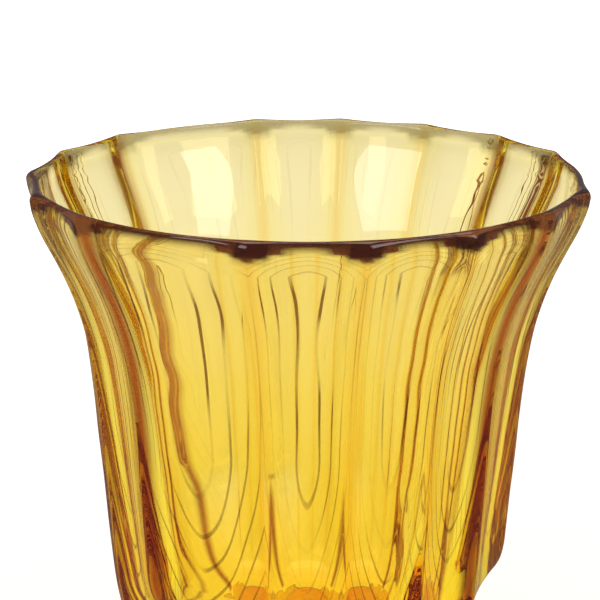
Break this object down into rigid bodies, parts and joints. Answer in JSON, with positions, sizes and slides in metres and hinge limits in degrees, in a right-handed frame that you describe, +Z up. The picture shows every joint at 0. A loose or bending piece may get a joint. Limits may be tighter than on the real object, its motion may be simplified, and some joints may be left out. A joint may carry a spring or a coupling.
{
  "type": "fan vase",
  "caption": "Footed flower vase of amber pressed glass with a fluted, flaring bowl, coved panels low down, a joining wafer and a round foot.",
  "frame": {"origin": "centre of the foot's flat ground underside, on the vase's axis", "axes": "+Z up along the vase's axis, +X through the middle of one of the three wide panels"},
  "size_m": [0.1711, 0.1722, 0.2],
  "materials": {
    "amber_glass": "clear amber pressed glass, fire polished"
  },
  "bodies": {
    "root": {"fluted_bowl": "amber_glass", "joining_wafer": "amber_glass", "round_foot": "amber_glass"}
  },
  "joints": []
}
